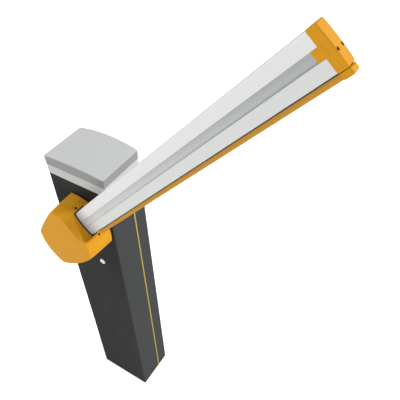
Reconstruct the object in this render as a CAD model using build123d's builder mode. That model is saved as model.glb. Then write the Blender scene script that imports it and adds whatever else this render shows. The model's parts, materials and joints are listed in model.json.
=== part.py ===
from build123d import *
from math import cos, radians, sin
import os

os.makedirs("parts", exist_ok=True)

# Boom barrier with a short boom, in millimetres. X runs across the front face, -Y is the side
# on which the boom turns, +Z is up. The origin is the middle of the base plate's underside.

# Cabinet
cabinet_width = 184.0
cabinet_depth = 130.0
cabinet_height = 945.0
sheet = 2.5
bend_radius = 3.0
lip_width = 12.0

# Base plate
base_thickness = 6.0
base_inset = 5.0
anchor_hole_radius = 7.0
anchor_from_side = 32.0
anchor_from_front = 28.0
cable_entry_length = 64.0
cable_entry_width = 36.0

# Yellow trims in the two side seams
seam_position = 19.5
trim_width = 4.5
trim_proud = 0.6
trim_flange_width = 14.0
trim_flange_thickness = 1.5

# Frame inside the top edge
frame_height = 22.0
frame_width = 16.0
frame_thickness = 3.0
frame_clearance = 0.3

# Band and lid on top
band_height = 28.0
band_wall = 4.0
band_proud = 0.3
lid_overhang = 1.2
lid_undercut = 1.6
lid_edge_height = 25.0
lid_crown_front = 4.5
lid_crown_back = 12.0
lid_wall = 3.5
lid_corner_radius = 3.0
lid_edge_chamfer = 1.2

# Locks
release_lock_x = 26.0
release_lock_below_pivot = 149.7
release_lock_radius = 8.5
release_lock_proud = 3.0
lock_chamfer = 0.8
lock_barrel_radius = 6.0
lock_barrel_length = 16.0
key_slot_length = 7.0
key_slot_width = 1.6
key_slot_depth = 1.2
lock_clearance = 0.2
door_lock_height = 520.0
door_lock_radius = 11.0
door_lock_proud = 4.0

# Shaft and its bearing
pivot_below_top = 126.3
rest_angle = 48.5
shaft_radius = 15.0
shaft_shoulder_radius = 20.0
shaft_shoulder_thickness = 6.0
shaft_end_gap = 0.5
running_clearance = 0.05
bearing_flange_radius = 42.0
bearing_flange_thickness = 10.0
bearing_boss_radius = 24.0
bearing_clearance = 0.3

# Boom, with w measured out from the cabinet's front face
boom_height = 65.6
boom_thickness = 22.0
boom_back_gap = 23.0
boom_corner_radius = 2.5
boom_wall = 2.0
groove_width = 17.8
groove_depth = 4.0
boom_root = 30.0
boom_end = 850.0

# Rubber bumper under the boom
bumper_height = 9.6
bumper_thickness = 17.0
bumper_gap = 1.2
bumper_neck_width = 5.0
bumper_head_width = 9.0
bumper_head_height = 2.0
bumper_slot_clearance = 0.15
bumper_start = 96.0
bumper_corner_radius = 3.5

# Hub cover: its outline is a nose, two sides and a tail, each an arc between two of the corners,
# which are given as distances along the boom and square to it. It narrows a little from its back
# to a shoulder, and more from there to its front
hub_gap = 5.0
hub_height = 70.0
shoulder_height = 44.0
hub_wall = 3.5
hub_corner_radius = 5.0
lower_tail_radius = 14.0
nose_back = (89.0, 6.0)
nose_shoulder = (79.0, 6.0)
nose_front = (67.0, 6.0)
upper_corner_back = (54.0, 77.5)
upper_corner_shoulder = (48.0, 77.0)
upper_corner_front = (39.5, 75.5)
upper_tail_back = (-83.0, 58.5)
upper_tail_front = (-81.0, 57.5)
lower_tail_back = (-118.0, -49.0)
lower_tail_front = (-116.0, -48.0)
lower_corner_back = (37.0, -80.0)
lower_corner_front = (27.0, -76.0)
upper_side_bulge = 2.0
lower_side_bulge = 8.5
tail_bulge = 17.5

# Bevel on the nose in front of the boom. It starts on the front face and drops steeply at its upper
# end, less in its middle and hardly at its lower end
bevel_upper_v = 48.0
bevel_middle_v = 8.0
bevel_lower_v = -31.0
bevel_upper_start = 58.3
bevel_middle_start = 52.3
bevel_lower_start = 46.0
bevel_upper_width = 18.0
bevel_middle_width = 15.0
bevel_lower_width = 20.0
bevel_upper_drop = 24.0
bevel_middle_drop = 22.0
bevel_lower_drop = 0.6
bevel_overrun = 2.0

# Hollow in the nose in front of the boom root: how far from the pivot it starts
scoop_upper_start = 73.0
scoop_middle_start = 61.0
scoop_middle_v = -5.0
scoop_lower_start = 61.8

# Black rubber seal round the boom root
boom_slot_clearance = 3.2
seal_proud = 0.8

# Clamp casting on the shaft
casting_clearance = 0.3
casting_thickness = 8.0
casting_boss_radius = 26.0
casting_boss_height = 34.0
rail_width = 10.0
rail_start = 33.0
rail_end = 54.0
rail_clearance = 0.6

# Clamp cover behind the boom root, with its two screws
clamp_half_width = 49.5
clamp_depth = 38.0
clamp_gap = 0.5
clamp_screw_v = 42.0
clamp_screw_radius = 2.6
clamp_hole_radius = 3.2
clamp_screw_length = 22.0
clamp_screw_sink = 4.0

# End cap of the boom
end_cap_length = 18.5
end_cap_crown = 1.2
end_cap_proud = 0.3
end_cap_chamfer = 1.4
end_tab_length = 12.0
end_tab_clearance = 0.2
end_screw_v = -7.4
end_screw_spacing = 15.0
end_screw_radius = 2.4
end_screw_hole_radius = 2.8
end_screw_length = 12.0
end_screw_sink = 3.0
finger_recess_start = 4.5
finger_recess_length = 5.5
finger_recess_radius = 10.0
finger_recess_slope = 16.0
bumper_cap_length = 17.5
bumper_cap_proud = 1.0
bumper_cap_fillet = 3.0

# Places worked out from the sizes above
half_width = cabinet_width / 2
half_depth = cabinet_depth / 2
front_y = -half_depth
anchor_spacing_x = cabinet_width - 2 * anchor_from_side
anchor_spacing_y = cabinet_depth - 2 * anchor_from_front
pivot_height = cabinet_height - pivot_below_top
release_lock_height = pivot_height - release_lock_below_pivot
wall_height = cabinet_height - base_thickness
band_top = cabinet_height + band_height
lid_shoulder = band_top + lid_edge_height
boom_centre = boom_back_gap + boom_thickness / 2
boom_front = boom_back_gap + boom_thickness
half_boom = boom_height / 2
hub_front = hub_gap + hub_height
hub_shoulder = hub_gap + shoulder_height
boom_tip = boom_end + end_cap_length
beyond_hub = 2 * nose_back[0]
slot_half = half_boom + boom_slot_clearance
slot_back = boom_back_gap - boom_slot_clearance
slot_front = boom_front + boom_slot_clearance

along = (cos(radians(rest_angle)), 0, sin(radians(rest_angle)))
hub_plane = Plane(origin=(0, front_y, pivot_height), x_dir=along, z_dir=(0, -1, 0))
front_plane = Plane(origin=(0, front_y, 0), x_dir=(1, 0, 0), z_dir=(0, -1, 0))
back_plane = Plane(origin=(0, half_depth, 0), x_dir=(-1, 0, 0), z_dir=(0, 1, 0))
bevel_plane = Plane(origin=hub_plane.origin, x_dir=along, z_dir=-hub_plane.y_dir)


def across_boom(distance):
    """Plane square to the boom: x points outward, y points down to the bumper."""
    start = hub_plane.from_local_coords((distance, 0, 0))
    return Plane(origin=start, x_dir=(0, -1, 0), z_dir=along)


def wall_ring(outer_inset, inner_inset):
    """Ring with the cabinet's plan, between two insets from its outer face."""
    Rectangle(cabinet_width - 2 * outer_inset, cabinet_depth - 2 * outer_inset)
    Rectangle(cabinet_width - 2 * inner_inset, cabinet_depth - 2 * inner_inset, mode=Mode.SUBTRACT)


def keep_front():
    """Takes away what lies behind the front edge of the seam."""
    with Locations((0, seam_position - trim_width / 2)):
        Rectangle(2 * cabinet_width, cabinet_depth, align=(Align.CENTER, Align.MIN), mode=Mode.SUBTRACT)


def keep_back():
    """Takes away what lies in front of the back edge of the seam."""
    with Locations((0, seam_position + trim_width / 2)):
        Rectangle(2 * cabinet_width, 2 * cabinet_depth, align=(Align.CENTER, Align.MAX), mode=Mode.SUBTRACT)


def halfway(first, second):
    """Point halfway between two points of the hub's outline."""
    return (Vector(first) + Vector(second)) / 2


def hub_outline(distance, nose, upper_corner, upper_tail, lower_tail, lower_corner, inset):
    """Outline of the hub at a distance from the cabinet, drawn in by an inset."""
    with BuildSketch(hub_plane.offset(distance)) as outline:
        with BuildLine():
            ThreePointArc(lower_corner, nose, upper_corner)
            SagittaArc(upper_tail, upper_corner, upper_side_bulge)
            SagittaArc(lower_tail, upper_tail, tail_bulge)
            SagittaArc(lower_corner, lower_tail, lower_side_bulge)
        make_face()
        if inset:
            offset(amount=-inset, kind=Kind.INTERSECTION)
        corners = outline.vertices().sort_by(Axis.X)
        fillet(corners[1:], hub_corner_radius - inset)
        fillet(outline.vertices().sort_by(Axis.X)[0], lower_tail_radius - inset)
    return outline.sketch


def back_outline(distance, inset):
    """Outline of the hub's back."""
    corners = (upper_corner_back, upper_tail_back, lower_tail_back, lower_corner_back)
    return hub_outline(distance, nose_back, *corners, inset)


def shoulder_outline(distance, inset):
    """Outline of the hub's shoulder."""
    upper_tail = halfway(upper_tail_back, upper_tail_front)
    lower_tail = halfway(lower_tail_back, lower_tail_front)
    lower_corner = halfway(lower_corner_back, lower_corner_front)
    corners = (upper_corner_shoulder, upper_tail, lower_tail, lower_corner)
    return hub_outline(distance, nose_shoulder, *corners, inset)


def front_outline(distance, inset):
    """Outline of the hub's front."""
    corners = (upper_corner_front, upper_tail_front, lower_tail_front, lower_corner_front)
    return hub_outline(distance, nose_front, *corners, inset)


def bevel_section(v, start, width, drop, inset):
    """What the bevel takes off the nose at one distance from the boom's middle."""
    face = hub_front - inset
    with BuildSketch(bevel_plane.offset(-v)) as section:
        with BuildLine():
            Polyline(
                (start - inset, face + bevel_overrun),
                (start - inset, face),
                (start - inset + width, face - drop),
                (beyond_hub, face - drop),
                (beyond_hub, face + bevel_overrun),
                close=True,
            )
        make_face()
    return section.sketch


def bevel_sections(inset):
    """The bevel at its upper end, in its middle and at its lower end, all drawn in by an inset."""
    upper_v = bevel_upper_v + inset
    lower_v = bevel_lower_v - inset
    return [
        bevel_section(upper_v, bevel_upper_start, bevel_upper_width, bevel_upper_drop, inset),
        bevel_section(bevel_middle_v, bevel_middle_start, bevel_middle_width, bevel_middle_drop, inset),
        bevel_section(lower_v, bevel_lower_start, bevel_lower_width, bevel_lower_drop, inset),
    ]


def scoop_outline(distance, inset, half_height):
    """What the hollow takes off the nose in front of the boom root, its curve drawn in."""
    with BuildSketch(hub_plane.offset(distance)) as outline:
        with BuildLine():
            ThreePointArc(
                (scoop_upper_start - inset, half_height),
                (scoop_middle_start - inset, scoop_middle_v),
                (scoop_lower_start - inset, -half_height),
            )
            Polyline(
                (scoop_lower_start - inset, -half_height),
                (beyond_hub, -half_height),
                (beyond_hub, half_height),
                (scoop_upper_start - inset, half_height),
            )
        make_face()
    return outline.sketch


along_axis = Axis((0, 0, 0), along)
down_axis = Axis((0, 0, 0), tuple(across_boom(0).y_dir))

# Base plate: a flat steel plate on the foundation, a little smaller than the cabinet
with BuildPart() as base_plate:
    with BuildSketch():
        Rectangle(cabinet_width - 2 * base_inset, cabinet_depth - 2 * base_inset)
        SlotOverall(cable_entry_length, cable_entry_width, mode=Mode.SUBTRACT)
    extrude(amount=base_thickness)
    with Locations((0, 0, base_thickness)):
        with GridLocations(anchor_spacing_x, anchor_spacing_y, 2, 2):
            Hole(anchor_hole_radius)
base_plate.part.label = "base_plate"
export_step(base_plate.part, "parts/base_plate.step")

# Front housing: one folded sheet, front wall and both side walls up to the seams
with BuildPart() as front_housing:
    with BuildSketch(Plane.XY.offset(base_thickness)):
        wall_ring(0, sheet)
        keep_front()
    extrude(amount=wall_height)
    fillet(front_housing.edges().filter_by(Axis.Z).group_by(Axis.Y)[0], bend_radius)
    with BuildSketch(Plane.XY.offset(base_thickness)):
        wall_ring(sheet, sheet + lip_width)
        keep_front()
    extrude(amount=sheet)
    with Locations(front_plane):
        with Locations((0, pivot_height)):
            Hole(bearing_boss_radius + bearing_clearance, depth=2 * sheet)
        with Locations((release_lock_x, release_lock_height)):
            Hole(lock_barrel_radius + lock_clearance, depth=2 * sheet)
front_housing.part.label = "front_housing"
export_step(front_housing.part, "parts/front_housing.step")

# Rear door: the folded sheet that closes the back, from seam to seam
with BuildPart() as rear_door:
    with BuildSketch(Plane.XY.offset(base_thickness)):
        wall_ring(0, sheet)
        keep_back()
    extrude(amount=wall_height)
    fillet(rear_door.edges().filter_by(Axis.Z).group_by(Axis.Y)[-1], bend_radius)
    with BuildSketch(Plane.XY.offset(base_thickness)):
        wall_ring(sheet, sheet + lip_width)
        keep_back()
    extrude(amount=sheet)
    with Locations(back_plane):
        with Locations((0, door_lock_height)):
            Hole(lock_barrel_radius + lock_clearance, depth=2 * sheet)
rear_door.part.label = "rear_door"
export_step(rear_door.part, "parts/rear_door.step")

# Seam trims: T-shaped yellow strips, the web in the seam and the flange behind both sheets
for side, name in ((1, "seam_trim_right"), (-1, "seam_trim_left")):
    flange_bottom = base_thickness + sheet
    flange_top = cabinet_height - frame_height - frame_clearance
    inward = Align.MAX if side > 0 else Align.MIN
    with BuildPart() as seam_trim:
        with BuildSketch(Plane.XY.offset(base_thickness)):
            with Locations((side * (half_width + trim_proud), seam_position)):
                Rectangle(sheet + trim_proud, trim_width, align=(inward, Align.CENTER))
        extrude(amount=wall_height)
        with BuildSketch(Plane.XY.offset(flange_bottom)):
            with Locations((side * (half_width - sheet), seam_position)):
                Rectangle(trim_flange_thickness, trim_flange_width, align=(inward, Align.CENTER))
        extrude(amount=flange_top - flange_bottom)
    seam_trim.part.label = name
    export_step(seam_trim.part, "parts/" + name + ".step")

# Top frame: an angle ring inside the upper edge, to which the band and the lid are screwed
with BuildPart() as top_frame:
    with BuildSketch(Plane.XY.offset(cabinet_height - frame_height)):
        wall_ring(sheet + frame_clearance, sheet + frame_clearance + frame_thickness)
    extrude(amount=frame_height)
    with BuildSketch(Plane.XY.offset(cabinet_height - frame_thickness)):
        wall_ring(sheet + frame_clearance, sheet + frame_clearance + frame_width)
    extrude(amount=frame_thickness)
top_frame.part.label = "top_frame"
export_step(top_frame.part, "parts/top_frame.step")

# White band between the sheet housing and the lid
with BuildPart() as crown_band:
    with BuildSketch(Plane.XY.offset(cabinet_height)):
        Rectangle(cabinet_width + 2 * band_proud, cabinet_depth + 2 * band_proud)
        Rectangle(cabinet_width - 2 * band_wall, cabinet_depth - 2 * band_wall, mode=Mode.SUBTRACT)
    extrude(amount=band_height)
    fillet(crown_band.edges().filter_by(Axis.Z).group_by(SortBy.DISTANCE)[-1], bend_radius)
crown_band.part.label = "crown_band"
export_step(crown_band.part, "parts/crown_band.step")

# Lid: a moulded cover with sides that lean out, and a top crowned across its width, more so at
# the back than in front
lid_half = half_width + lid_overhang
lid_half_depth = half_depth + lid_overhang
lid_sections = []
for y, crown in ((-lid_half_depth, lid_crown_front), (lid_half_depth, lid_crown_back)):
    with BuildSketch(Plane.XZ.offset(-y)) as lid_section:
        with BuildLine():
            Polyline(
                (-lid_half, lid_shoulder),
                (lid_undercut - lid_half, band_top),
                (lid_half - lid_undercut, band_top),
                (lid_half, lid_shoulder),
            )
            ThreePointArc((lid_half, lid_shoulder), (0, lid_shoulder + crown), (-lid_half, lid_shoulder))
        make_face()
    lid_sections.append(lid_section.sketch)
with BuildPart() as cap_lid:
    loft(sections=lid_sections)
    fillet(cap_lid.edges().filter_by(lambda edge: abs(edge.tangent_at(0.5).Z) > 0.9), lid_corner_radius)
    chamfer(cap_lid.faces().sort_by(Axis.Z)[-1].edges(), lid_edge_chamfer)
    with BuildSketch(Plane.XY.offset(band_top)):
        wall_inset = lid_undercut + lid_wall - lid_overhang
        Rectangle(cabinet_width - 2 * wall_inset, cabinet_depth - 2 * wall_inset)
    extrude(amount=lid_edge_height - lid_wall, mode=Mode.SUBTRACT)
cap_lid.part.label = "cap_lid"
export_step(cap_lid.part, "parts/cap_lid.step")

# Shaft bearing: a flanged cast housing behind the front wall, its boss in the wall's hole
with BuildPart() as shaft_bearing:
    with BuildSketch(hub_plane.offset(-sheet - bearing_flange_thickness)):
        Circle(bearing_flange_radius)
        Circle(shaft_radius + running_clearance, mode=Mode.SUBTRACT)
    extrude(amount=bearing_flange_thickness)
    with BuildSketch(hub_plane.offset(-sheet)):
        Circle(bearing_boss_radius)
        Circle(shaft_radius + running_clearance, mode=Mode.SUBTRACT)
    extrude(amount=sheet)
shaft_bearing.part.label = "shaft_bearing"
export_step(shaft_bearing.part, "parts/shaft_bearing.step")

# Release lock in the front wall: a round cover with a key slot, and its barrel behind the sheet
with BuildPart() as release_lock:
    with BuildSketch(front_plane):
        with Locations((release_lock_x, release_lock_height)):
            Circle(release_lock_radius)
    extrude(amount=release_lock_proud)
    chamfer(release_lock.edges().group_by(Axis.Y)[0], lock_chamfer)
    with BuildSketch(front_plane):
        with Locations((release_lock_x, release_lock_height)):
            Circle(lock_barrel_radius)
    extrude(amount=-lock_barrel_length)
    with BuildSketch(front_plane.offset(release_lock_proud)):
        with Locations((release_lock_x, release_lock_height)):
            SlotOverall(key_slot_length, key_slot_width, rotation=90)
    extrude(amount=-key_slot_depth, mode=Mode.SUBTRACT)
release_lock.part.label = "release_lock"
export_step(release_lock.part, "parts/release_lock.step")

# Door lock in the back wall
with BuildPart() as door_lock:
    with BuildSketch(back_plane):
        with Locations((0, door_lock_height)):
            Circle(door_lock_radius)
    extrude(amount=door_lock_proud)
    chamfer(door_lock.edges().group_by(Axis.Y)[-1], lock_chamfer)
    with BuildSketch(back_plane):
        with Locations((0, door_lock_height)):
            Circle(lock_barrel_radius)
    extrude(amount=-lock_barrel_length)
    with BuildSketch(back_plane.offset(door_lock_proud)):
        with Locations((0, door_lock_height)):
            SlotOverall(key_slot_length, key_slot_width, rotation=90)
    extrude(amount=-key_slot_depth, mode=Mode.SUBTRACT)
door_lock.part.label = "door_lock"
export_step(door_lock.part, "parts/door_lock.step")

# Output shaft: through the bearing into the clamp casting, with a shoulder at its inner end
shoulder_face = -sheet - bearing_flange_thickness - shaft_end_gap
with BuildPart() as output_shaft:
    with BuildSketch(hub_plane.offset(shoulder_face - shaft_shoulder_thickness)):
        Circle(shaft_shoulder_radius)
    extrude(amount=shaft_shoulder_thickness)
    with BuildSketch(hub_plane.offset(shoulder_face)):
        Circle(shaft_radius)
    extrude(amount=hub_gap + casting_boss_height - shoulder_face)
output_shaft.part.label = "output_shaft"
export_step(output_shaft.part, "parts/output_shaft.step")

# Outer form of the hub, shared by its cover and by the clamp cover
with BuildPart() as hub_form:
    loft(sections=[back_outline(hub_gap, 0), shoulder_outline(hub_shoulder, 0)])
    loft(sections=[shoulder_outline(hub_shoulder, 0), front_outline(hub_front, 0)])
    loft(sections=bevel_sections(0), mode=Mode.SUBTRACT)
    extrude(scoop_outline(slot_front, 0, slot_half), amount=hub_height, mode=Mode.SUBTRACT)

with BuildPart() as hub_hollow:
    loft(sections=[back_outline(hub_gap, hub_wall), shoulder_outline(hub_shoulder, hub_wall)])
    loft(sections=[shoulder_outline(hub_shoulder, hub_wall), front_outline(hub_front - hub_wall, hub_wall)])
    loft(sections=bevel_sections(hub_wall), mode=Mode.SUBTRACT)
    extrude(scoop_outline(slot_front, hub_wall, slot_half + hub_wall), amount=hub_height, mode=Mode.SUBTRACT)

# Hub cover: the moulded shell, cut out for the boom and for the clamp cover
with BuildPart() as hub_cover:
    add(hub_form.part)
    add(hub_hollow.part, mode=Mode.SUBTRACT)
    with BuildSketch(across_boom(0)):
        with Locations(((slot_back + slot_front) / 2, 0)):
            Rectangle(slot_front - slot_back, 2 * slot_half)
    extrude(amount=beyond_hub, mode=Mode.SUBTRACT)
    with BuildSketch(across_boom(0)):
        with Locations((clamp_depth / 2, 0)):
            Rectangle(clamp_depth, 2 * clamp_half_width)
    extrude(amount=beyond_hub, mode=Mode.SUBTRACT)
hub_cover.part.label = "hub_cover"
export_step(hub_cover.part, "parts/hub_cover.step")

# Clamp cover: the part of the same shell behind the boom root
clamp_inner_depth = clamp_depth - clamp_gap - hub_gap
with BuildPart() as clamp_cover:
    add(hub_form.part)
    add(hub_hollow.part, mode=Mode.SUBTRACT)
    with BuildSketch(across_boom(0)):
        with Locations((hub_gap + clamp_inner_depth / 2, 0)):
            Rectangle(clamp_inner_depth, 2 * (clamp_half_width - clamp_gap))
        with Locations(((slot_back + slot_front) / 2, 0)):
            Rectangle(slot_front - slot_back, 2 * slot_half, mode=Mode.SUBTRACT)
    extrude(amount=beyond_hub, mode=Mode.INTERSECT)
    with BuildSketch(across_boom(0)):
        with Locations((boom_centre, clamp_screw_v), (boom_centre, -clamp_screw_v)):
            Circle(clamp_hole_radius)
    extrude(amount=beyond_hub, mode=Mode.SUBTRACT)
clamp_cover.part.label = "clamp_cover"
export_step(clamp_cover.part, "parts/clamp_cover.step")

# Clamp casting: plate and boss on the shaft, with a rail on each side of the boom root
with BuildPart() as clamp_casting:
    casting_front = hub_gap + casting_thickness
    casting_inset = hub_wall + casting_clearance
    loft(sections=[back_outline(hub_gap, casting_inset), shoulder_outline(hub_shoulder, casting_inset)])
    with BuildSketch(hub_plane.offset(hub_gap)):
        Circle(beyond_hub)
    extrude(amount=casting_thickness, mode=Mode.INTERSECT)
    with BuildSketch(hub_plane.offset(casting_front)):
        Circle(casting_boss_radius)
    extrude(amount=casting_boss_height - casting_thickness)
    rail_face = half_boom + rail_clearance
    rail_middle = (rail_start + rail_end) / 2
    rail_centre = rail_face + rail_width / 2
    with BuildSketch(hub_plane.offset(casting_front)):
        with Locations((rail_middle, 0)):
            Rectangle(rail_end - rail_start, 2 * (rail_face + rail_width))
    extrude(amount=boom_back_gap - casting_front)
    with BuildSketch(hub_plane.offset(boom_back_gap)):
        with Locations((rail_middle, rail_centre), (rail_middle, -rail_centre)):
            Rectangle(rail_end - rail_start, rail_width)
    extrude(amount=boom_thickness)
    with Locations(hub_plane.offset(boom_front)):
        Hole(shaft_radius + running_clearance)
    with BuildSketch(across_boom(rail_end - clamp_screw_length)):
        with Locations((boom_centre, clamp_screw_v), (boom_centre, -clamp_screw_v)):
            Circle(clamp_hole_radius)
    extrude(amount=beyond_hub, mode=Mode.SUBTRACT)
clamp_casting.part.label = "clamp_casting"
export_step(clamp_casting.part, "parts/clamp_casting.step")

# Clamp screws: hexagon sockets, sunk in the holes of the clamp cover
for side, name in ((-1, "clamp_screw_upper"), (1, "clamp_screw_lower")):
    with BuildPart() as clamp_screw:
        with BuildSketch(across_boom(rail_end + clamp_screw_sink - clamp_screw_length)):
            with Locations((boom_centre, side * clamp_screw_v)):
                Circle(clamp_screw_radius)
        extrude(amount=clamp_screw_length)
        with BuildSketch(across_boom(rail_end + clamp_screw_sink)):
            with Locations((boom_centre, side * clamp_screw_v)):
                RegularPolygon(clamp_screw_radius / 2, 6)
        extrude(amount=-clamp_screw_radius, mode=Mode.SUBTRACT)
    clamp_screw.part.label = name
    export_step(clamp_screw.part, "parts/" + name + ".step")

# Boom profile: a hollow extrusion with a groove on each face and a slot for the bumper
slot_mouth = bumper_neck_width + 2 * bumper_slot_clearance
slot_room = bumper_head_width + 2 * bumper_slot_clearance
slot_depth = boom_wall + bumper_head_height + 2 * bumper_slot_clearance
with BuildPart() as boom_profile:
    with BuildSketch(across_boom(boom_root)) as profile:
        with Locations((boom_centre, 0)):
            RectangleRounded(boom_thickness, boom_height, boom_corner_radius)
        with Locations((boom_back_gap, 0), (boom_front, 0)):
            Rectangle(2 * groove_depth, groove_width, mode=Mode.SUBTRACT)
        chamber = half_boom - boom_wall - groove_width / 2 - boom_wall
        for side, foot in ((-1, 0), (1, slot_depth)):
            with Locations((boom_centre, side * (half_boom - boom_wall - foot))):
                Rectangle(
                    boom_thickness - 2 * boom_wall,
                    chamber - foot,
                    align=(Align.CENTER, Align.MIN if side < 0 else Align.MAX),
                    mode=Mode.SUBTRACT,
                )
        with Locations((boom_centre, 0)):
            Rectangle(
                boom_thickness - 2 * groove_depth - 2 * boom_wall,
                groove_width,
                mode=Mode.SUBTRACT,
            )
        with Locations((boom_centre, half_boom)):
            Rectangle(slot_mouth, 2 * slot_depth, mode=Mode.SUBTRACT)
        with Locations((boom_centre, half_boom - boom_wall)):
            Rectangle(slot_room, slot_depth - boom_wall, align=(Align.CENTER, Align.MAX), mode=Mode.SUBTRACT)
    extrude(amount=boom_end - boom_root)
boom_profile.part.label = "boom_profile"
export_step(boom_profile.part, "parts/boom_profile.step")

# Root seal: a black rubber frame that closes the gap between the boom and the hub cover
with BuildPart() as root_seal:
    with BuildSketch(across_boom(rail_end + rail_clearance)):
        with Locations((boom_centre, 0)):
            Rectangle(boom_thickness + 2 * boom_slot_clearance, 2 * slot_half)
            Rectangle(boom_thickness, boom_height, mode=Mode.SUBTRACT)
    extrude(amount=beyond_hub)
    seal_shoulder = shoulder_outline(hub_shoulder, -seal_proud)
    loft(sections=[back_outline(hub_gap, -seal_proud), seal_shoulder], mode=Mode.INTERSECT)
    extrude(scoop_outline(boom_front, -seal_proud, slot_half), amount=hub_height, mode=Mode.SUBTRACT)
root_seal.part.label = "root_seal"
export_step(root_seal.part, "parts/root_seal.step")

# Rubber bumper: a strip along the underside, its head held in the profile's slot
with BuildPart() as rubber_bumper:
    with BuildSketch(across_boom(bumper_start)):
        with Locations((boom_centre, half_boom + bumper_gap)):
            Rectangle(bumper_thickness, bumper_height, align=(Align.CENTER, Align.MIN))
        with Locations((boom_centre, half_boom - boom_wall - bumper_slot_clearance - bumper_head_height)):
            Rectangle(bumper_head_width, bumper_head_height, align=(Align.CENTER, Align.MIN))
        with Locations((boom_centre, half_boom - boom_wall - bumper_slot_clearance)):
            Rectangle(
                bumper_neck_width,
                boom_wall + bumper_slot_clearance + bumper_gap,
                align=(Align.CENTER, Align.MIN),
            )
    extrude(amount=boom_end - bumper_start)
    bumper_edges = rubber_bumper.edges().filter_by(along_axis)
    fillet(bumper_edges.group_by(down_axis)[-1], bumper_corner_radius)
rubber_bumper.part.label = "rubber_bumper"
export_step(rubber_bumper.part, "parts/rubber_bumper.step")

# End cap: a moulded plug with a slightly crowned, chamfered end, a tongue in each groove, a finger recess in
# front and two screw holes
cap_half = half_boom + end_cap_proud
cap_corner = boom_tip - end_cap_crown
cap_front = boom_front + end_cap_proud
cap_thickness = boom_thickness + 2 * end_cap_proud
with BuildPart() as end_cap:
    with BuildSketch(hub_plane.offset(cap_front)):
        with BuildLine():
            Polyline(
                (cap_corner, cap_half),
                (boom_end, cap_half),
                (boom_end, -cap_half),
                (cap_corner, -cap_half),
            )
            ThreePointArc((cap_corner, -cap_half), (boom_tip, 0), (cap_corner, cap_half))
        make_face()
    extrude(amount=-cap_thickness)
    fillet(end_cap.edges().filter_by(along_axis), boom_corner_radius)
    chamfer(end_cap.faces().sort_by(along_axis)[-1].edges(), end_cap_chamfer)
    with BuildSketch(across_boom(boom_end - end_tab_length)):
        for place, side in ((cap_front, Align.MAX), (cap_front - cap_thickness, Align.MIN)):
            with Locations((place, 0)):
                Rectangle(
                    groove_depth + end_cap_proud - end_tab_clearance,
                    groove_width - 2 * end_tab_clearance,
                    align=(side, Align.CENTER),
                )
    extrude(amount=end_tab_length)
    recess_start = Location((boom_end + finger_recess_start, 0, cap_front), (0, finger_recess_slope, 0))
    with BuildSketch(Plane(hub_plane.location * recess_start)):
        with Locations((finger_recess_length - finger_recess_radius, 0)):
            Circle(finger_recess_radius)
    extrude(amount=cap_thickness, mode=Mode.SUBTRACT)
    with BuildSketch(across_boom(boom_tip)):
        for side in (1, -1):
            with Locations((boom_centre + side * end_screw_spacing / 2, -end_screw_v)):
                Circle(end_screw_hole_radius)
    extrude(amount=-end_cap_length, mode=Mode.SUBTRACT)
end_cap.part.label = "end_cap"
export_step(end_cap.part, "parts/end_cap.step")

# End cap screws, sunk in their holes
for side, name in ((1, "end_cap_screw_front"), (-1, "end_cap_screw_back")):
    with BuildPart() as end_screw:
        with BuildSketch(across_boom(boom_tip - end_screw_sink - end_screw_length)):
            with Locations((boom_centre + side * end_screw_spacing / 2, -end_screw_v)):
                Circle(end_screw_radius)
        extrude(amount=end_screw_length)
    end_screw.part.label = name
    export_step(end_screw.part, "parts/" + name + ".step")

# End piece of the bumper
with BuildPart() as bumper_end_cap:
    with BuildSketch(across_boom(boom_end)):
        with Locations((boom_centre, half_boom + bumper_gap)):
            Rectangle(
                bumper_thickness + 2 * bumper_cap_proud,
                bumper_height + bumper_cap_proud,
                align=(Align.CENTER, Align.MIN),
            )
    extrude(amount=bumper_cap_length)
    end_face = bumper_end_cap.faces().sort_by(along_axis)[-1]
    lower_face = bumper_end_cap.faces().sort_by(down_axis)[-1]
    fillet(end_face.edges() + lower_face.edges(), bumper_cap_fillet)
bumper_end_cap.part.label = "bumper_end_cap"
export_step(bumper_end_cap.part, "parts/bumper_end_cap.step")
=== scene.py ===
import json
import math

import bmesh
import bpy
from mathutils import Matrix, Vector


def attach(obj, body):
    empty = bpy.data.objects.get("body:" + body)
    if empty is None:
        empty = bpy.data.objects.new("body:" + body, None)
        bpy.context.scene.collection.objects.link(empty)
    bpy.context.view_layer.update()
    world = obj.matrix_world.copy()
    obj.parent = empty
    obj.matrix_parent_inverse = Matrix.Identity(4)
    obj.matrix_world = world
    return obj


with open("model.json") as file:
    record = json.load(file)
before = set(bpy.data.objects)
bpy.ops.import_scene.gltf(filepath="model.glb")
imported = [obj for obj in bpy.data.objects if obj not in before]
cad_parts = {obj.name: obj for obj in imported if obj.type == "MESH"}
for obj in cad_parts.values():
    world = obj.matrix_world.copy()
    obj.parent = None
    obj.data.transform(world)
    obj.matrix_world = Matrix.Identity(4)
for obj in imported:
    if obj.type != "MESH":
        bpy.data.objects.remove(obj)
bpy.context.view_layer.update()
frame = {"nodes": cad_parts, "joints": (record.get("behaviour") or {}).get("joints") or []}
node = frame["nodes"]

# Camera: as far from the barrier, as high and as tilted as the photograph was taken from, with the
# lens that gives its field of view.
camera_place = (0.7359, -0.6539, 1.7493)
camera_turn = (45.818, 1.213, 31.838)
camera_lens = 44.85
camera_sensor = 36

camera_data = bpy.data.cameras.new("photo_camera")
camera_data.lens = camera_lens
camera_data.sensor_width = camera_sensor
camera = bpy.data.objects.new("photo_camera", camera_data)
camera.location = camera_place
camera.rotation_euler = [math.radians(angle) for angle in camera_turn]
bpy.context.scene.collection.objects.link(camera)
bpy.context.scene.camera = camera
bpy.context.scene.view_settings.view_transform = "Standard"


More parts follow.
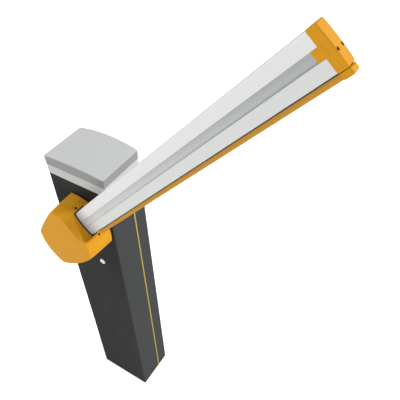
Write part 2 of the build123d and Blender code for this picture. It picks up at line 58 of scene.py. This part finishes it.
# Base plate and top frame: hot-dip galvanised steel, the plate drilled for the anchors and the
# frame bent from angle. The zinc has grown in large flakes, some bright and some dull.
class Wire:
    """A socket of a node tree. Sums, products and comparisons of wires add Math nodes to the tree."""

    def __init__(self, tree, socket=None):
        self.tree = tree
        self.socket = socket

    def node(self, kind, settings=None, sockets=None, output=0):
        """Adds a node, with its settings and the values or links of its sockets.

        A socket that shares its name with another on its node is given by its number.
        """
        made = self.tree.nodes.new(kind)
        for name, value in (settings or {}).items():
            if name == "stops":
                for stop, (place, shade) in zip(made.color_ramp.elements, value):
                    stop.position = place
                    stop.color = (shade, shade, shade, 1)
            else:
                setattr(made, name, value)
        for name, value in (sockets or {}).items():
            if isinstance(value, Wire):
                self.tree.links.new(value.socket, made.inputs[name])
            else:
                made.inputs[name].default_value = value
        return Wire(self.tree, made.outputs[output] if made.outputs else None)

    def maths(self, operation, *values):
        return self.node("ShaderNodeMath", {"operation": operation}, dict(enumerate(values)))

    def __add__(self, other):
        return self.maths("ADD", self, other)

    def __radd__(self, other):
        return self.maths("ADD", other, self)

    def __sub__(self, other):
        return self.maths("SUBTRACT", self, other)

    def __rsub__(self, other):
        return self.maths("SUBTRACT", other, self)

    def __mul__(self, other):
        return self.maths("MULTIPLY", self, other)

    def __rmul__(self, other):
        return self.maths("MULTIPLY", other, self)

    def __gt__(self, other):
        return self.maths("GREATER_THAN", self, other)

    def __lt__(self, other):
        return self.maths("LESS_THAN", self, other)

    def __abs__(self):
        return self.maths("ABSOLUTE", self)

    def place(self, turn=(0, 0, 0), stretch=(1, 1, 1)):
        """Place on the piece in metres, turned by degrees and stretched."""
        here = self.node("ShaderNodeTexCoord", output="Object")
        turned = {"Vector": here, "Rotation": [math.radians(angle) for angle in turn]}
        turned = self.node("ShaderNodeMapping", None, turned)
        return self.node("ShaderNodeMapping", None, {"Vector": turned, "Scale": stretch})

    def noise(self, scale, detail=3, **place):
        """Noise around a half, with about as many lumps in a metre as its scale says."""
        settings = {"Vector": self.place(**place), "Scale": scale, "Detail": detail}
        return self.node("ShaderNodeTexNoise", None, settings)

    def ramp(self, stops):
        return self.node("ShaderNodeValToRGB", {"stops": stops}, {"Fac": self})

    def tint(self, *colours):
        """A colour between two, by this wire."""
        dark, light = [colour if isinstance(colour, Wire) else (*colour, 1) for colour in colours]
        return self.node("ShaderNodeMix", {"data_type": "RGBA"}, {0: self, 6: dark, 7: light}, output=2)


def new_finish(name, **fixed):
    """A finish with the values that are the same all over it, and a wire to draw the rest from."""
    material = bpy.data.materials.new(name)
    material.use_nodes = True
    shader = material.node_tree.nodes["Principled BSDF"]
    for socket, value in fixed.items():
        shader.inputs[socket.replace("_", " ")].default_value = value
    return material, Wire(material.node_tree)


def lay_on(material, pieces, colour, roughness, relief, depth, edge=0.0006):
    """Gives a finish its colour, roughness, relief and softened edges, and pieces the finish."""
    tree = material.node_tree
    shader = tree.nodes["Principled BSDF"]
    start = Wire(tree)
    soft = start.node("ShaderNodeBevel", {"samples": 4}, {"Radius": edge})
    raised = start.node("ShaderNodeBump", None, {"Height": relief, "Distance": depth, "Normal": soft})
    tree.links.new(colour.socket, shader.inputs["Base Color"])
    tree.links.new(roughness.socket, shader.inputs["Roughness"])
    tree.links.new(raised.socket, shader.inputs["Normal"])
    for piece in pieces:
        node[piece].data.materials.clear()
        node[piece].data.materials.append(material)


zinc_dull = (0.34, 0.35, 0.36)
zinc_bright = (0.56, 0.57, 0.58)
flake_scale = 95
flake_depth = 0.00003
bloom_scale = 14

zinc, start = new_finish("galvanised_steel", Metallic=0.85)
flakes = {"Vector": start.place(), "Scale": flake_scale}
flake = start.node("ShaderNodeTexVoronoi", None, flakes, "Color")
flake = start.node("ShaderNodeSeparateColor", None, {"Color": flake})
bloom = start.noise(bloom_scale, detail=4)
shine = 0.6 * flake + 0.4 * bloom
zinc_colour = shine.tint(zinc_dull, zinc_bright)
zinc_roughness = 0.58 - 0.2 * shine
lay_on(zinc, ["base_plate", "top_frame"], zinc_colour, zinc_roughness, flake, flake_depth)

# Shaft bearing: a grey iron casting, thinly painted and bolted behind the front wall. The sand of
# the mould has left it rough.
iron_dark = (0.10, 0.105, 0.11)
iron_light = (0.19, 0.195, 0.20)
sand_scale = 420
sand_depth = 0.0004
patch_scale = 28

iron, start = new_finish("grey_iron", Metallic=0.35)
sand = start.noise(sand_scale, detail=5)
iron_colour = start.noise(patch_scale).tint(iron_dark, iron_light)
iron_roughness = 0.62 + 0.15 * sand
lay_on(iron, ["shaft_bearing"], iron_colour, iron_roughness, sand, sand_depth)

# Output shaft: bright steel turned on a lathe, which leaves fine rings, with a film of grease. It
# runs in the bearing and carries the clamp casting on its front end.
steel_dark = (0.36, 0.36, 0.37)
steel_light = (0.58, 0.58, 0.60)
ring_scale = 700
ring_stretch = (0.02, 1, 0.02)
ring_depth = 0.00003
grease_scale = 60

steel, start = new_finish("turned_steel", Metallic=1.0)
rings = start.noise(ring_scale, detail=2, stretch=ring_stretch)
steel_colour = rings.tint(steel_dark, steel_light)
steel_roughness = 0.22 + 0.22 * start.noise(grease_scale, detail=4)
lay_on(steel, ["output_shaft"], steel_colour, steel_roughness, rings, ring_depth)


# Front housing and rear door: folded sheet steel with an anthracite powder coat. The coat is pebbled
# like fine orange peel and dusty near the ground, and its side walls are painted lighter than the
# front, as painted light.
def along(wire, axis):
    """The part of a place or of a direction that lies along an axis."""
    return wire.node("ShaderNodeSeparateXYZ", None, {"Vector": wire}, axis)


def facing(start, axis):
    """How squarely the surface faces along an axis, from -1 to 1."""
    return along(start.node("ShaderNodeNewGeometry", output="Normal"), axis)


def between(wire, nothing, full):
    """0 where a wire is at nothing, growing to 1 where it is at full."""
    return wire.node("ShaderNodeMapRange", None, {"Value": wire, "From Min": nothing, "From Max": full})


coat_dark = (0.027, 0.028, 0.028)
coat_light = (0.034, 0.035, 0.035)
coat_side_light = (0.055, 0.057, 0.058)
coat_dust = (0.070, 0.068, 0.065)
coat_edge = 0.0012
cloud_scale = 5
pebble_scale = 900
pebble_depth = 0.00007
scuff_scale = 38
scuff_stretch = (1, 1, 0.25)
scuff_stops = ((0.60, 0), (0.78, 1))
dust_scale = 55
dust_height = 0.16

coat, start = new_finish("anthracite_powder_coat", Specular_IOR_Level=0.03)
cloud = start.noise(cloud_scale, detail=4)
pebble = start.noise(pebble_scale, detail=2)
scuff = start.noise(scuff_scale, detail=5, stretch=scuff_stretch).ramp(scuff_stops)
low = between(along(start.place(), "Z"), dust_height, 0)
dust = low * low * (0.25 + 0.75 * start.noise(dust_scale, detail=4))
# The walls facing along X are painted lighter than the front: painted light on the sides.
paint = abs(facing(start, "X")).tint(cloud.tint(coat_dark, coat_light), coat_side_light)
coat_colour = (0.5 * dust + 0.12 * scuff).tint(paint, coat_dust)
coat_roughness = 0.38 + 0.12 * cloud + 0.25 * dust - 0.05 * scuff
coat_pieces = ["front_housing", "rear_door"]
lay_on(coat, coat_pieces, coat_colour, coat_roughness, pebble, pebble_depth, edge=coat_edge)

# Seam trims: yellow PVC strips, extruded, that close the joint between the housing and the door.
# The die has left lines along them, and the colour has dulled.
trim_dull = (0.38, 0.28, 0.035)
trim_fresh = (0.50, 0.38, 0.06)
trim_line_scale = 600
trim_line_stretch = (1, 1, 0.015)
trim_line_depth = 0.00005
fade_scale = 16

trim, start = new_finish("yellow_pvc", Specular_IOR_Level=0.45)
trim_lines = start.noise(trim_line_scale, stretch=trim_line_stretch)
fade = start.noise(fade_scale, detail=4)
trim_colour = (0.6 * fade + 0.4 * trim_lines).tint(trim_dull, trim_fresh)
trim_roughness = 0.42 + 0.16 * trim_lines
trim_pieces = ["seam_trim_right", "seam_trim_left"]
lay_on(trim, trim_pieces, trim_colour, trim_roughness, trim_lines, trim_line_depth)

# Crown band: a white painted aluminium extrusion, bent round the top of the cabinet and screwed to
# the frame inside. Faint die lines run along it, and it is a little grimy.
band_shade = (0.52, 0.54, 0.53)
band_clean = (0.62, 0.64, 0.63)
band_line_scale = 420
band_line_stretch = (0.02, 0.02, 1)
band_line_depth = 0.00004
grime_scale = 22

band, start = new_finish("white_band_paint", Specular_IOR_Level=0.5)
band_lines = start.noise(band_line_scale, detail=2, stretch=band_line_stretch)
grime = start.noise(grime_scale, detail=5)
band_colour = (0.7 * grime + 0.3 * band_lines).tint(band_shade, band_clean)
band_roughness = 0.36 + 0.14 * grime
lay_on(band, ["crown_band"], band_colour, band_roughness, band_lines, band_line_depth)

# Lid: light grey plastic, moulded with a fine spark-eroded grain, and pushed down over the band. Its
# sides are painted a darker grey than its top, as painted shade, and the top is unevenly bleached by
# the sun.
lid_side_shade = (0.29, 0.30, 0.295)
lid_top = (0.535, 0.55, 0.545)
lid_bleached = (0.575, 0.585, 0.58)
lid_shoulder = (0.35, 0.8)
lid_grain_scale = 1500
lid_grain_depth = 0.00005
lid_edge = 0.0015
bleach_scale = 11

lid, start = new_finish("grey_lid_plastic", Specular_IOR_Level=0.5)
lid_grain = start.noise(lid_grain_scale)
bleach = start.noise(bleach_scale, detail=4)
upward = between(facing(start, "Z"), *lid_shoulder)
# Faces that look less upward are painted darker: painted shade on the lid's sides.
lid_colour = upward.tint(lid_side_shade, bleach.tint(lid_top, lid_bleached))
lid_roughness = 0.44 + 0.12 * bleach
lay_on(lid, ["cap_lid"], lid_colour, lid_roughness, lid_grain, lid_grain_depth, edge=lid_edge)

# Release lock: a white enamelled metal cover, turned, with a key slot cut in its face. The enamel
# is faintly pebbled.
enamel_shade = (0.88, 0.89, 0.89)
enamel_clean = (0.95, 0.955, 0.95)
enamel_cloud_scale = 160
enamel_pebble_scale = 1200
enamel_pebble_depth = 0.00003

enamel, start = new_finish("white_lock_enamel", Specular_IOR_Level=0.6)
enamel_cloud = start.noise(enamel_cloud_scale, detail=4)
enamel_pebble = start.noise(enamel_pebble_scale, detail=2)
enamel_colour = enamel_cloud.tint(enamel_shade, enamel_clean)
enamel_roughness = 0.24 + 0.12 * enamel_cloud
lay_on(enamel, ["release_lock"], enamel_colour, enamel_roughness, enamel_pebble, enamel_pebble_depth)

# Door lock: nickel-plated brass, fixed in the back wall. It is brushed up and down, and a little
# tarnished.
nickel_dull = (0.42, 0.41, 0.39)
nickel_bright = (0.66, 0.65, 0.62)
brush_scale = 900
brush_stretch = (1, 1, 0.05)
brush_depth = 0.00002
tarnish_scale = 120

nickel, start = new_finish("nickel_plate", Metallic=1.0)
brushed = start.noise(brush_scale, detail=2, stretch=brush_stretch)
tarnish = start.noise(tarnish_scale, detail=5)
nickel_colour = (0.5 * brushed + 0.5 * tarnish).tint(nickel_dull, nickel_bright)
nickel_roughness = 0.24 + 0.2 * tarnish
lay_on(nickel, ["door_lock"], nickel_colour, nickel_roughness, brushed, brush_depth)

# Clamp casting: aluminium cast in sand and tumbled, keyed to the shaft. It grips the boom, and the
# sand has left its skin grainy.
alloy_dark = (0.40, 0.41, 0.42)
alloy_light = (0.57, 0.58, 0.59)
alloy_skin_scale = 520
alloy_skin_depth = 0.0002
alloy_patch_scale = 34

alloy, start = new_finish("cast_aluminium", Metallic=0.9)
alloy_skin = start.noise(alloy_skin_scale, detail=5)
alloy_colour = start.noise(alloy_patch_scale).tint(alloy_dark, alloy_light)
alloy_roughness = 0.44 + 0.2 * alloy_skin
lay_on(alloy, ["clamp_casting"], alloy_colour, alloy_roughness, alloy_skin, alloy_skin_depth)

# Hub cover, clamp cover and end caps: orange ABS, moulded with a fine grain and clipped or screwed
# on. The colour is a little uneven, and pale scratches lie along the boom. The boom is level at
# the lower limit of its swing, which gives the angle that it stands at.
boom_turn = -frame["joints"][0]["range_deg"][0]
orange_deep = (0.66, 0.290, 0.010)
orange_warm = (0.74, 0.340, 0.013)
orange_pale = (0.80, 0.46, 0.07)
flow_scale = 7
grain_scale = 1700
grain_depth = 0.00005
orange_edge = 0.0011
scratch_scale = 90
scratch_stretch = (0.1, 1, 1)
scratch_stops = ((0.64, 0), (0.8, 1))

orange, start = new_finish("orange_plastic", Specular_IOR_Level=0.12)
flow = start.noise(flow_scale)
grain = start.noise(grain_scale)
scratch = start.noise(scratch_scale, detail=6, turn=(0, boom_turn, 0), stretch=scratch_stretch)
scratch = scratch.ramp(scratch_stops)
orange_colour = (0.22 * scratch).tint(flow.tint(orange_deep, orange_warm), orange_pale)
orange_roughness = 0.36 + 0.1 * flow + 0.08 * grain
orange_pieces = ["hub_cover", "clamp_cover", "end_cap", "bumper_end_cap"]
lay_on(orange, orange_pieces, orange_colour, orange_roughness, grain, grain_depth, edge=orange_edge)

# Root seal: black EPDM rubber pushed into the gap between the boom and the hub. It is matt, and
# dust clings to it.
rubber_black = (0.009, 0.009, 0.009)
rubber_dusty = (0.030, 0.029, 0.027)
rubber_dust_scale = 260
rubber_dust_depth = 0.00006

rubber, start = new_finish("black_rubber", Specular_IOR_Level=0.35)
rubber_dust = start.noise(rubber_dust_scale, detail=5)
rubber_colour = rubber_dust.tint(rubber_black, rubber_dusty)
rubber_roughness = 0.62 + 0.2 * rubber_dust
lay_on(rubber, ["root_seal"], rubber_colour, rubber_roughness, rubber_dust, rubber_dust_depth)

# Screws: blackened steel socket screws that hold the clamp cover and the end cap. The black is
# oily, and worn grey in spots.
oxide_black = (0.012, 0.012, 0.013)
oxide_worn = (0.06, 0.06, 0.062)
oil_scale = 500
oil_depth = 0.00003
screw_edge = 0.0003

oxide, start = new_finish("blackened_steel", Metallic=0.7)
oil = start.noise(oil_scale, detail=4)
oxide_colour = oil.tint(oxide_black, oxide_worn)
oxide_roughness = 0.3 + 0.25 * oil
screws = ["clamp_screw_upper", "clamp_screw_lower", "end_cap_screw_front", "end_cap_screw_back"]
lay_on(oxide, screws, oxide_colour, oxide_roughness, oil, oil_depth, edge=screw_edge)

# Boom: an aluminium extrusion with a white powder coat, and die lines along it under the coat. The
# groove is painted grey as the shade in it, greyer away from the hub and towards its upper edge.
# The lower part of the boom is painted greyer as shade, and the end at the hub is painted darker as
# the hub's shade.
pivot = frame["joints"][0]["pos_m"]
boom_shade = (0.78, 0.785, 0.775)
boom_clean = (0.86, 0.865, 0.85)
boom_lower_shade = (0.66, 0.68, 0.665)
boom_root_shade = (0.36, 0.375, 0.385)
root_shade_scale = 30
root_shade_span = (0.125, 0.062)
boom_line_scale = 300
boom_line_stretch = (0.01, 1, 1)
boom_line_depth = 0.00004
haze_scale = 9
groove_shade = (0.46, 0.475, 0.48)
groove_half = 0.0089
groove_span = (0.07, 0.85)
shade_per_metre_up = 12
mottle_scale = 170

boom, start = new_finish("white_boom_paint", Specular_IOR_Level=0.5)
boom_lines = start.noise(boom_line_scale, turn=(0, boom_turn, 0), stretch=boom_line_stretch)
haze = start.noise(haze_scale, detail=4)
from_pivot = {"Vector": start.place(), "Location": (0, 0, -pivot[2])}
from_pivot = start.node("ShaderNodeMapping", None, from_pivot)
on_level = {"Vector": from_pivot, "Rotation": (0, math.radians(boom_turn), 0)}
on_level = start.node("ShaderNodeMapping", None, on_level)
reach = along(on_level, "X")
height = along(on_level, "Z")
outward = between(reach, *groove_span)
mottle = start.noise(mottle_scale)
# Below the groove the boom is painted greyer: painted shade.
lower_painted_shade = (height < -groove_half) * (0.4 + 0.4 * haze)
# The groove is painted grey as the shade in it, darker away from the hub and towards its upper edge.
groove_painted_shade = 0.10 + 0.70 * outward + shade_per_metre_up * height + 0.4 * mottle
groove_painted_shade = (abs(height) < groove_half) * groove_painted_shade
# The end at the hub is painted darker: painted shade from the hub.
root_painted_shade = between(reach, *root_shade_span) * (0.55 + 0.5 * start.noise(root_shade_scale, detail=5))
boom_colour = (0.5 * haze + 0.5 * boom_lines).tint(boom_shade, boom_clean)
boom_colour = lower_painted_shade.tint(boom_colour, boom_lower_shade)
boom_colour = groove_painted_shade.tint(boom_colour, groove_shade)
boom_colour = root_painted_shade.tint(boom_colour, boom_root_shade)
boom_roughness = 0.30 + 0.12 * haze + 0.08 * boom_lines
lay_on(boom, ["boom_profile"], boom_colour, boom_roughness, boom_lines, boom_line_depth)


# Groove plugs: painted plastic wedges glued into the grooves at the hub, so that the seal has a
# plain edge to press on. They slope down to the groove's floor, and the groove fades out over them.
def on_boom(reach, up, out):
    """A place in the frame, from metres along the boom, up across it and out from its middle."""
    turn = math.radians(boom_turn)
    across = reach * math.cos(turn) - up * math.sin(turn)
    rise = reach * math.sin(turn) + up * math.cos(turn)
    return (pivot[0] + across, pivot[1] - boom_middle - out, pivot[2] + rise)


def bar(name, first, last, material):
    """A piece on the boom between two outlines that have the same number of corners."""
    count = len(first)
    faces = [(i, (i + 1) % count, (i + 1) % count + count, i + count) for i in range(count)]
    faces += [tuple(range(count)), tuple(range(count, 2 * count))]
    mesh = bpy.data.meshes.new(name)
    mesh.from_pydata(first + last, [], faces)
    work = bmesh.new()
    work.from_mesh(mesh)
    bmesh.ops.recalc_face_normals(work, faces=work.faces)
    work.to_mesh(mesh)
    work.free()
    mesh.materials.append(material)
    piece = bpy.data.objects.new(name, mesh)
    bpy.context.scene.collection.objects.link(piece)
    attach(piece, "boom_arm")
    return piece


boom_middle = 0.034
plug_half = 0.00875
plug_root = 0.055
plug_slope = 0.054
plug_floor = 0.0071
plug_toe = 0.00725
plug_face = 0.01095

for name, side, crest in (("groove_plug_front", 1, 0.061), ("groove_plug_back", -1, 0.080)):
    tip = crest + plug_slope
    outline = [(plug_root, plug_floor), (plug_root, plug_face), (crest, plug_face)]
    outline += [(tip, plug_toe), (tip, plug_floor)]
    ends = [[on_boom(reach, up, side * out) for reach, out in outline] for up in (-plug_half, plug_half)]
    bar(name, *ends, boom)

# Bumper: a strip of orange rubber, extruded and slid into the boom's slot. It is duller than the
# plastic, with lines along it.
bumper_dull = (0.52, 0.235, 0.018)
bumper_fresh = (0.64, 0.310, 0.025)
bumper_line_scale = 420
bumper_line_stretch = (0.012, 1, 1)
bumper_line_depth = 0.00008
bumper_dust_scale = 45

bumper, start = new_finish("orange_rubber", Specular_IOR_Level=0.35)
bumper_lines = start.noise(bumper_line_scale, turn=(0, boom_turn, 0), stretch=bumper_line_stretch)
bumper_dust = start.noise(bumper_dust_scale, detail=5)
bumper_colour = (0.6 * bumper_dust + 0.4 * bumper_lines).tint(bumper_dull, bumper_fresh)
bumper_roughness = 0.56 + 0.18 * bumper_dust
lay_on(bumper, ["rubber_bumper"], bumper_colour, bumper_roughness, bumper_lines, bumper_line_depth)

# Bumper gap shade: black rubber strips put in the joint between the bumper and the boom on both
# faces, as painted shade of the gap. Each is pressed in beside the bumper's neck and turns up round
# the boom's lower corner.
gap_shade_ends = (0.0962, 0.8498)
gap_shade_upper = [(0.0027, -0.03295), (0.0085, -0.03295), (0.0098, -0.0326), (0.01055, -0.03195)]
gap_shade_lower = [(0.0108, -0.0325), (0.0105, -0.0334), (0.0097, -0.03385), (0.0027, -0.03385)]

for name, side in (("bumper_lip_front", 1), ("bumper_lip_back", -1)):
    outline = gap_shade_upper + gap_shade_lower
    ends = [[on_boom(reach, up, side * out) for out, up in outline] for reach in gap_shade_ends]
    # The black strips paint the shade of the gap between the bumper and the boom.
    bar(name, *ends, rubber)

# Floor: plain, pale and level, under the base plate. The camera sees it white, with the barrier's
# shadow left on it.
floor_half = 6
floor_glow = 0.74
floor_colour = (0.8, 0.8, 0.8, 1)
full_white = (1, 1, 1, 1)

floor_mesh = bpy.data.meshes.new("floor")
corners = [(x * floor_half, y * floor_half, 0) for x, y in ((-1, -1), (1, -1), (1, 1), (-1, 1))]
floor_mesh.from_pydata(corners, [], [(0, 1, 2, 3)])
floor = bpy.data.objects.new("floor", floor_mesh)
bpy.context.scene.collection.objects.link(floor)
floor_finish = bpy.data.materials.new("floor")
floor_finish.use_nodes = True
floor_finish.node_tree.nodes.clear()
start = Wire(floor_finish.node_tree)
plain = start.node("ShaderNodeBsdfDiffuse", None, {"Color": floor_colour})
glow = start.node("ShaderNodeEmission", None, {"Color": full_white, "Strength": floor_glow})
seen = start.node("ShaderNodeAddShader", None, {0: plain, 1: glow})
camera_ray = start.node("ShaderNodeLightPath", output="Is Camera Ray")
both = start.node("ShaderNodeMixShader", None, {0: camera_ray, 1: plain, 2: seen})
start.node("ShaderNodeOutputMaterial", None, {"Surface": both})
floor_mesh.materials.append(floor_finish)

# World: white where the camera sees it, directly, through a piece or in a reflection, and an even
# soft light on everything.
soft_light = 0.26
white_light = 1

world = bpy.data.worlds.new("studio")
bpy.context.scene.world = world
world.use_nodes = True
world.node_tree.nodes.clear()
start = Wire(world.node_tree)
seen_by = [f"Is {kind} Ray" for kind in ("Camera", "Transmission", "Glossy")]
camera_ray, through_ray, glossy_ray = [start.node("ShaderNodeLightPath", output=ray) for ray in seen_by]
soft = start.node("ShaderNodeBackground", None, {"Color": full_white, "Strength": soft_light})
white = start.node("ShaderNodeBackground", None, {"Color": full_white, "Strength": white_light})
seen = camera_ray + through_ray + glossy_ray > 0
both = start.node("ShaderNodeMixShader", None, {0: seen, 1: soft, 2: white})
start.node("ShaderNodeOutputWorld", None, {"Surface": both})

# Lamps: soft panels, each with its place, width and power. The key stands high on the right and
# behind, so that the boom shades the hub beside it. A small panel low on the right casts the boom's
# shade on the wall and the band, and two more fill the front and the left.
lamps = {
    "key_panel": ((5.5, 3.9, 6.0), 1.6, 610),
    "front_panel": ((-0.4, -2.6, 2.0), 2.0, 11),
    "right_panel": ((1.7, -2.3, 1.0), 1.1, 22.5),
    "left_panel": ((-2.2, -0.8, 1.8), 1.6, 34),
}
lamp_aim = Vector((0, 0, 0.8))

for name, (place, width, power) in lamps.items():
    light = bpy.data.lights.new(name, "AREA")
    light.size = width
    light.energy = power
    lamp = bpy.data.objects.new(name, light)
    lamp.location = place
    lamp.rotation_euler = (lamp_aim - Vector(place)).to_track_quat("-Z", "Y").to_euler()
    bpy.context.scene.collection.objects.link(lamp)
